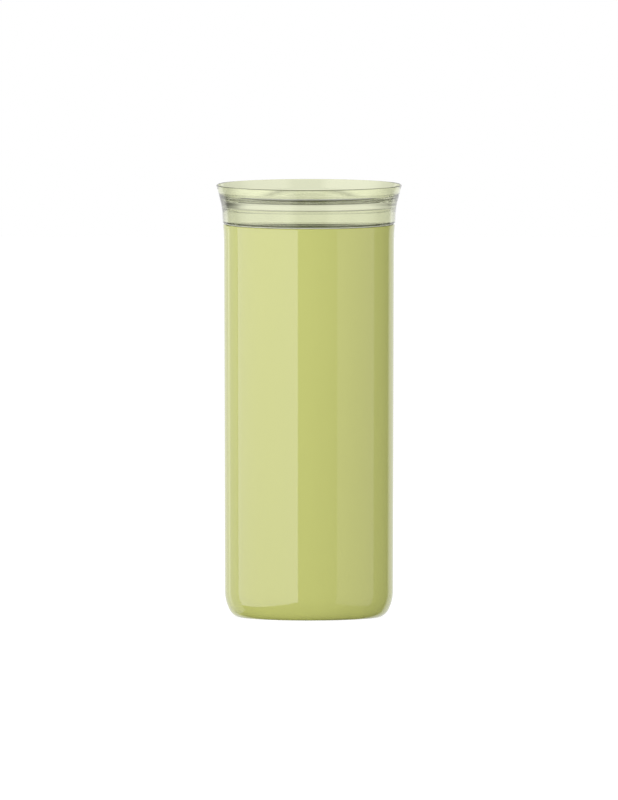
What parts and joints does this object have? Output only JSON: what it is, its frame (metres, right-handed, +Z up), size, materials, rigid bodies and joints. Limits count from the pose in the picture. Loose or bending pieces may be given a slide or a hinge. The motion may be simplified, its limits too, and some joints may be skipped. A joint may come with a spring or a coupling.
{
  "type": "lidded glass canister",
  "caption": "Tall round glass storage canister with a coloured lacquer skin, rounded base and a flared clear glass lid that lifts off on a soft seal.",
  "frame": {"origin": "centre of the foot, on the surface the canister stands on", "axes": "+Z up along the jar's axis of revolution; the pictured front faces -Y, +X to its right"},
  "size_m": [0.1198, 0.1198, 0.2791],
  "materials": {
    "jar_glass": "clear, polished",
    "green_lacquer": "opaque high gloss",
    "lid_glass": "clear with a pale green tint, polished",
    "seal_silicone": "translucent, satin"
  },
  "bodies": {
    "jar": {"jar_body": "jar_glass", "colour_coat": "green_lacquer"},
    "lid": {"lid_glass": "lid_glass", "lid_seal": "seal_silicone"}
  },
  "joints": [
    {"name": "lid_lift", "type": "slide", "parent": "jar", "child": "lid", "axis": [0, 0, 1], "range_m": [0, 0.1]}
  ]
}
